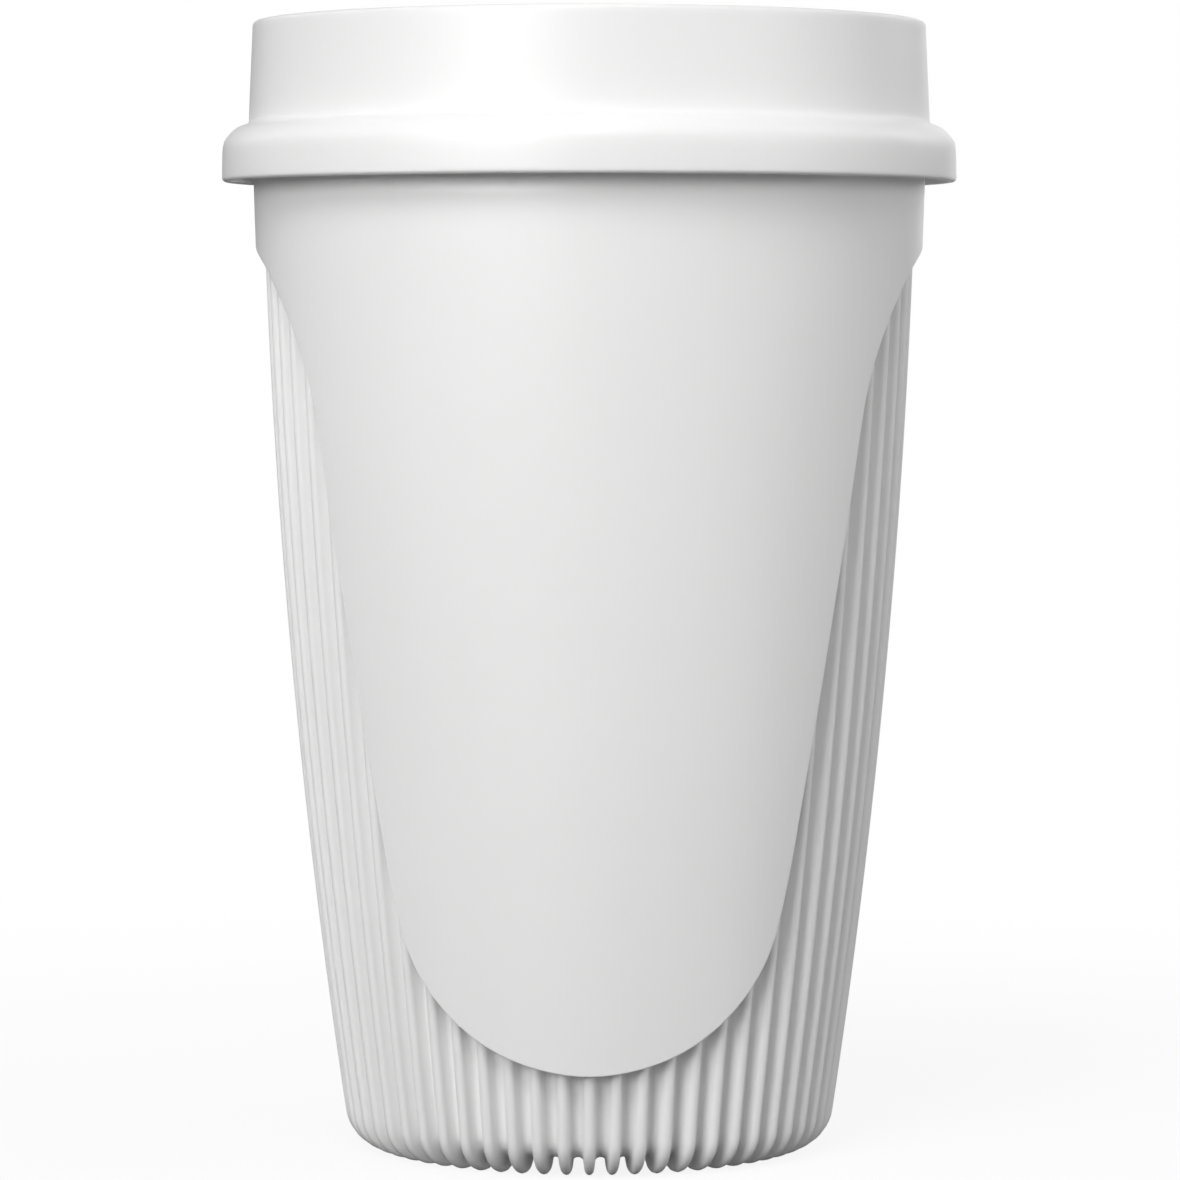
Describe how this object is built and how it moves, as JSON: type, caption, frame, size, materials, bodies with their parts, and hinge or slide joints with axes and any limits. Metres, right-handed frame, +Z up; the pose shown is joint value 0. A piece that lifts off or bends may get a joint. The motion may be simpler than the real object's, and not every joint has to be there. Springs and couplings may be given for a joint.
{
  "type": "coffee cup with lid",
  "caption": "Tapered takeaway coffee cup with vertical ribs, a smooth U-shaped panel front and back, and a lift-off lid with a drinking hole.",
  "frame": {"origin": "middle of the base, on the surface the cup stands on", "axes": "+Z up along the cup's axis; the middle of the front panel faces -Y"},
  "size_m": [0.0962, 0.0962, 0.1474],
  "materials": {
    "cup_white": "satin",
    "lid_white": "satin"
  },
  "bodies": {
    "cup": {"cup_body": "cup_white"},
    "lid": {"lid": "lid_white"}
  },
  "joints": [
    {"name": "lid_lift", "type": "slide", "parent": "cup", "child": "lid", "axis": [0, 0, 1], "range_m": [0, 0.06]}
  ]
}
